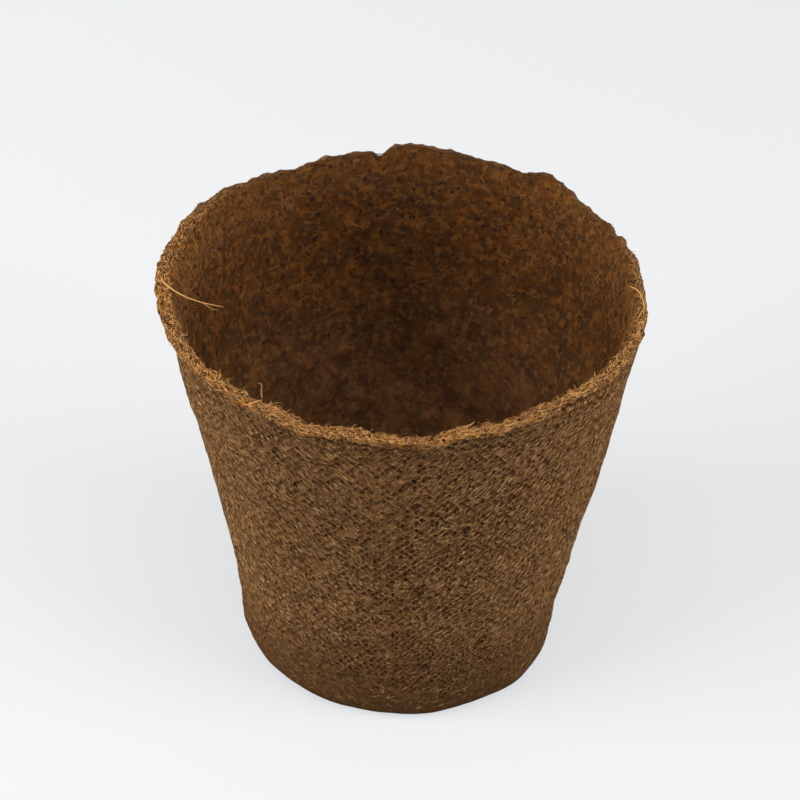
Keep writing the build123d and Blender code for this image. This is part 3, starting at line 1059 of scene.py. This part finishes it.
def finish_piece(piece, material, slot, *nodes):
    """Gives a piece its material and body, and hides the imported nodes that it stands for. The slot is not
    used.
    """
    piece.data.materials.clear()
    piece.data.materials.append(material)
    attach(piece, "root")
    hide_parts(*nodes)


# Operators


class PEATPOT_OT_shell(bpy.types.Operator):
    """Moulds the felt shell of the pot"""

    bl_idname = "peatpot.shell"
    bl_label = "Moulded shell"
    bl_options = {"REGISTER", "UNDO"}

    def execute(self, context):
        piece = build_shell(context)
        inside_box(piece)
        finish_piece(piece, felt_material(context.scene.peat_pot.colours), "moulded_peat", "moulded_pot")
        return {"FINISHED"}


class PEATPOT_OT_felt_fibres(bpy.types.Operator):
    """Lays the fibres and chips that show in the felt and the fuzz of its torn rim"""

    bl_idname = "peatpot.felt_fibres"
    bl_label = "Felt fibres"
    bl_options = {"REGISTER", "UNDO"}

    def execute(self, context):
        shell = bpy.data.objects.get("felt_shell")
        if shell is None:
            raise RuntimeError("The shell comes first: run peatpot.shell")
        settings = context.scene.peat_pot
        section = Section(settings.shape)
        felt, tint = settings.felt, settings.colours
        random = np.random.default_rng(felt.seed + 100)
        surface = surface_of(shell.data)

        paths, thickness = wall_strands(section, surface, random, felt.wall_fibres, False)
        tone = random.beta(1.4, 2.2, felt.wall_fibres)
        piece = tubes("wall_fibres", paths, thickness, 0.4, tone)
        inside_box(piece)
        finish_piece(piece, fibre_material("wall_fibre", tint.wall_fibre_dark, tint.wall_fibre_pale),
                     "wood_fibre", "moulded_pot")

        paths, thickness = wall_strands(section, surface, random, felt.flakes, True)
        near_rim = smooth_step(52, 72, paths[:, 0, 2]) * np.abs(paths[:, 0, 0]) / section.rim_radius
        tone = random.beta(1.6, 5.5, felt.flakes) + 0.55 * near_rim * random.random(felt.flakes)
        piece = tubes("inner_flakes", paths, thickness, 0.5, tone, sides=4)
        inside_box(piece)
        finish_piece(piece, fibre_material("inner_chip", tint.chip_dark, tint.chip_pale),
                     "moulded_peat", "moulded_pot")

        paths, thickness, gold = rim_strands(section, surface, random, felt.rim_fibres)
        tone = random.beta(1.3, 1.2, felt.rim_fibres) * gold
        piece = tubes("torn_edge_fibres", paths, thickness, 0.35, tone)
        inside_box(piece)
        finish_piece(piece, fibre_material("torn_fibre", tint.torn_fibre_dark, tint.torn_fibre_pale),
                     "wood_fibre", "rim_fibres")
        return {"FINISHED"}


class PEATPOT_OT_loose_fibres(bpy.types.Operator):
    """Adds the long fibre that hangs over the inside and the short one that stands on the rim"""

    bl_idname = "peatpot.loose_fibres"
    bl_label = "Loose fibres"
    bl_options = {"REGISTER", "UNDO"}

    def execute(self, context):
        tint = context.scene.peat_pot.colours
        straw = fibre_material("straw_fibre", tint.straw_dark, tint.straw_pale)
        for name, node, sides, tips, steps, strands in LOOSE_FIBRES:
            thickness, tone, routes = zip(*strands)
            paths = np.stack([rounded_path(route, steps) for route in routes])
            piece = tubes(name, paths, np.array(thickness), tips, np.array(tone), sides)
            finish_piece(piece, straw, "wood_fibre", node)
        return {"FINISHED"}


class PEATPOT_OT_stage(bpy.types.Operator):
    """Sets the floor, the soft lights and the camera"""

    bl_idname = "peatpot.stage"
    bl_label = "Stage"
    bl_options = {"REGISTER", "UNDO"}

    def execute(self, context):
        stage = context.scene.peat_pot.stage
        bpy.ops.mesh.primitive_plane_add(size=stage.floor_size)
        floor = context.object
        floor.name = "studio_floor"
        material, tree, shader = new_material("pale_floor")
        seen = add_node(tree, "ShaderNodeLightPath").outputs["Is Camera Ray"]
        tree.links.new(mix(tree, seen, FLOOR_BOUNCE, FLOOR_SEEN), shader.inputs["Base Color"])
        place = add_node(tree, "ShaderNodeTexCoord").outputs["Object"]
        # Painted light: the floor's glow for the camera is a little stronger at the left than at the right
        glow = part_of(tree, fade(tree, split(tree, place, "X"), -0.09, 0.09, *FLOOR_GLOW), seen)
        tree.links.new(glow, shader.inputs["Emission Strength"])
        shader.inputs["Emission Color"].default_value = context.scene.peat_pot.colours.floor
        shader.inputs["Roughness"].default_value = 1.0
        shader.inputs["Specular IOR Level"].default_value = 0.0
        floor.data.materials.append(material)

        world = bpy.data.worlds.new("studio")
        world.use_nodes = True
        background = world.node_tree.nodes["Background"]
        background.inputs["Color"].default_value = SKY_COLOUR
        background.inputs["Strength"].default_value = stage.sky
        context.scene.world = world

        for name, place, setting, share, size in LIGHTS:
            aim = (Vector(LIGHTS_AIM) - Vector(place)).to_track_quat("-Z", "Y").to_euler()
            bpy.ops.object.light_add(type="AREA", location=place, rotation=aim)
            light = context.object
            light.name = name
            light.data.energy = getattr(stage, setting) * share
            light.data.size = size
            light.data.color = LIGHT_COLOUR

        ahead = Vector((0, cos(CAMERA_PITCH), -sin(CAMERA_PITCH)))
        level, upright = Vector((1, 0, 0)), Vector((0, sin(CAMERA_PITCH), cos(CAMERA_PITCH)))
        right = (level + upright * CAMERA_ROLL).normalized()
        up = (upright - level * CAMERA_ROLL).normalized()
        bpy.ops.object.camera_add()
        camera = context.object
        camera.name = "photo_camera"
        turn = Matrix((right, up, -ahead)).transposed().to_4x4()
        camera.matrix_world = Matrix.Translation(CAMERA_PLACE) @ turn
        camera.data.sensor_width = 36.0
        camera.data.lens = stage.lens
        camera.data.clip_start = 0.01
        context.scene.camera = camera
        context.scene.view_settings.view_transform = "Standard"
        return {"FINISHED"}


class PeatPotSettings(bpy.types.PropertyGroup):
    """Everything that the pot is built from."""

    shape: bpy.props.PointerProperty(type=PeatPotShape, name="Shape", description="Sizes of the shell")
    felt: bpy.props.PointerProperty(type=PeatPotFelt, name="Felt", description="Relief and fibres")
    colours: bpy.props.PointerProperty(
        type=PeatPotColours, name="Colours", description="Felt, fibres and floor")
    stage: bpy.props.PointerProperty(type=PeatPotStage, name="Stage", description="Floor, lights and camera")


class PEATPOT_PT_panel(bpy.types.Panel):
    """Settings and steps of the peat pot"""

    bl_idname = "PEATPOT_PT_panel"
    bl_label = "Peat pot"
    bl_space_type = "VIEW_3D"
    bl_region_type = "UI"
    bl_category = "Peat pot"

    def draw(self, context):
        settings = context.scene.peat_pot
        for group, operators in (
            (settings.shape, ("peatpot.shell",)),
            (settings.felt, ("peatpot.felt_fibres", "peatpot.loose_fibres")),
            (settings.colours, ()),
            (settings.stage, ("peatpot.stage",)),
        ):
            box = self.layout.box()
            for name in type(group).__annotations__:
                box.prop(group, name)
            for operator in operators:
                box.operator(operator)


CLASSES = (
    PeatPotShape, PeatPotFelt, PeatPotColours, PeatPotStage, PeatPotSettings,
    PEATPOT_OT_shell, PEATPOT_OT_felt_fibres, PEATPOT_OT_loose_fibres, PEATPOT_OT_stage,
    PEATPOT_PT_panel,
)


def register():
    for kind in CLASSES:
        bpy.utils.register_class(kind)
    bpy.types.Scene.peat_pot = bpy.props.PointerProperty(type=PeatPotSettings)


def unregister():
    del bpy.types.Scene.peat_pot
    for kind in reversed(CLASSES):
        bpy.utils.unregister_class(kind)


def main():
    """Builds the pot and its stage."""
    register()
    bpy.ops.peatpot.shell()
    bpy.ops.peatpot.felt_fibres()
    bpy.ops.peatpot.loose_fibres()
    bpy.ops.peatpot.stage()


if __name__ == "__main__":
    main()
